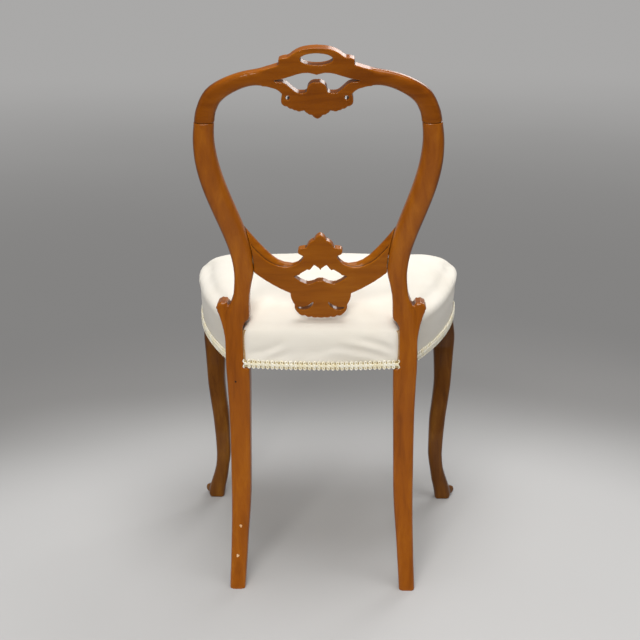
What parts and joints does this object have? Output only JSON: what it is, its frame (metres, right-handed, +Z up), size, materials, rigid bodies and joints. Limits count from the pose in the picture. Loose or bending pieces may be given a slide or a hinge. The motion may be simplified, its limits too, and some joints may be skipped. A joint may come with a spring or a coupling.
{
  "type": "balloon back side chair",
  "caption": "Side chair with a balloon-shaped wooden back, pierced crest and cross rail, cabriole front legs and a sprung, over-stuffed seat.",
  "frame": {"origin": "on the floor, at the centre of the bounding box in plan", "axes": "+Z up; the chair faces -Y; +X is the sitter's left"},
  "size_m": [0.4712, 0.501, 0.8807],
  "materials": {
    "walnut": "polished",
    "frame_wood": "matte",
    "dowel_wood": "matte",
    "steel": "satin",
    "jute": "matte",
    "stuffing": "matte",
    "cover_cloth": "matte",
    "gimp": "satin"
  },
  "bodies": {
    "root": {"left_back_leg": "walnut", "right_back_leg": "walnut", "crest_rail": "walnut", "cross_rail": "walnut", "left_front_leg": "walnut", "right_front_leg": "walnut", "crest_rail_dowels": "dowel_wood", "cross_rail_dowels": "dowel_wood", "seat_rail_dowels": "dowel_wood", "front_seat_rail": "frame_wood", "back_seat_rail": "frame_wood", "left_side_seat_rail": "frame_wood", "right_side_seat_rail": "frame_wood", "back_left_corner_block": "frame_wood", "back_right_corner_block": "frame_wood", "front_left_corner_block": "frame_wood", "front_right_corner_block": "frame_wood", "corner_block_screws": "steel", "webbing_tacks": "steel", "seat_springs": "steel", "cross_webbing": "jute", "long_webbing": "jute", "spring_hessian": "jute", "seat_stuffing": "stuffing", "seat_cover": "cover_cloth", "back_gimp": "gimp", "surround_gimp": "gimp"}
  },
  "joints": []
}
